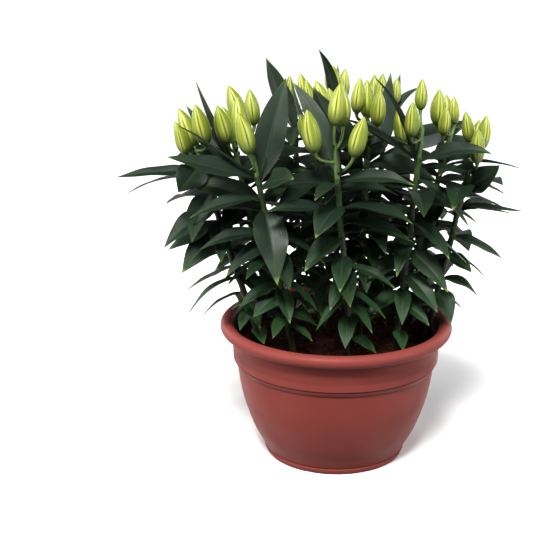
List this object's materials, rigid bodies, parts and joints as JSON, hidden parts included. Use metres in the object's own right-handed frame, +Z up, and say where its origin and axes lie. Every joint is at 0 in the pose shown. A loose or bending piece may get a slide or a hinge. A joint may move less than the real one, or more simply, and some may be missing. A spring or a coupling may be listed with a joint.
{
  "type": "potted lily",
  "caption": "Lily plant in bud: leafy stems topped with green-yellow buds, growing from soil in a round terracotta-coloured plastic bowl with a rolled rim.",
  "frame": {"origin": "centre of the bowl's flat underside", "axes": "+Z up out of the bowl; the viewer of the picture stands at -Y with +X to the right"},
  "size_m": [0.5965, 0.4321, 0.609],
  "materials": {
    "pot": "satin moulded plastic in terracotta red-brown",
    "soil": "loose dark red-brown coir and bark fibre, no gloss",
    "leaf": "dark green waxy leaf with fine parallel veins, satin gloss above, duller and paler below",
    "bud": "yellow-green waxy bud, darker green along its ribs and at its foot"
  },
  "bodies": {
    "root": {"pot": "pot", "soil": "soil", "leafy_stem_01": "leaf", "leafy_stem_02": "leaf", "leafy_stem_03": "leaf", "leafy_stem_04": "leaf", "leafy_stem_05": "leaf", "leafy_stem_06": "leaf", "leafy_stem_07": "leaf", "leafy_stem_08": "leaf", "leafy_stem_09": "leaf", "leafy_stem_10": "leaf", "leafy_stem_11": "leaf", "leafy_stem_12": "leaf", "bud_cluster_01": "bud", "bud_cluster_02": "bud", "bud_cluster_03": "bud", "bud_cluster_04": "bud", "bud_cluster_05": "bud", "bud_cluster_06": "bud", "bud_cluster_07": "bud", "bud_cluster_08": "bud", "bud_cluster_09": "bud", "bud_cluster_10": "bud", "bud_cluster_11": "bud", "bud_cluster_12": "bud"}
  },
  "joints": []
}
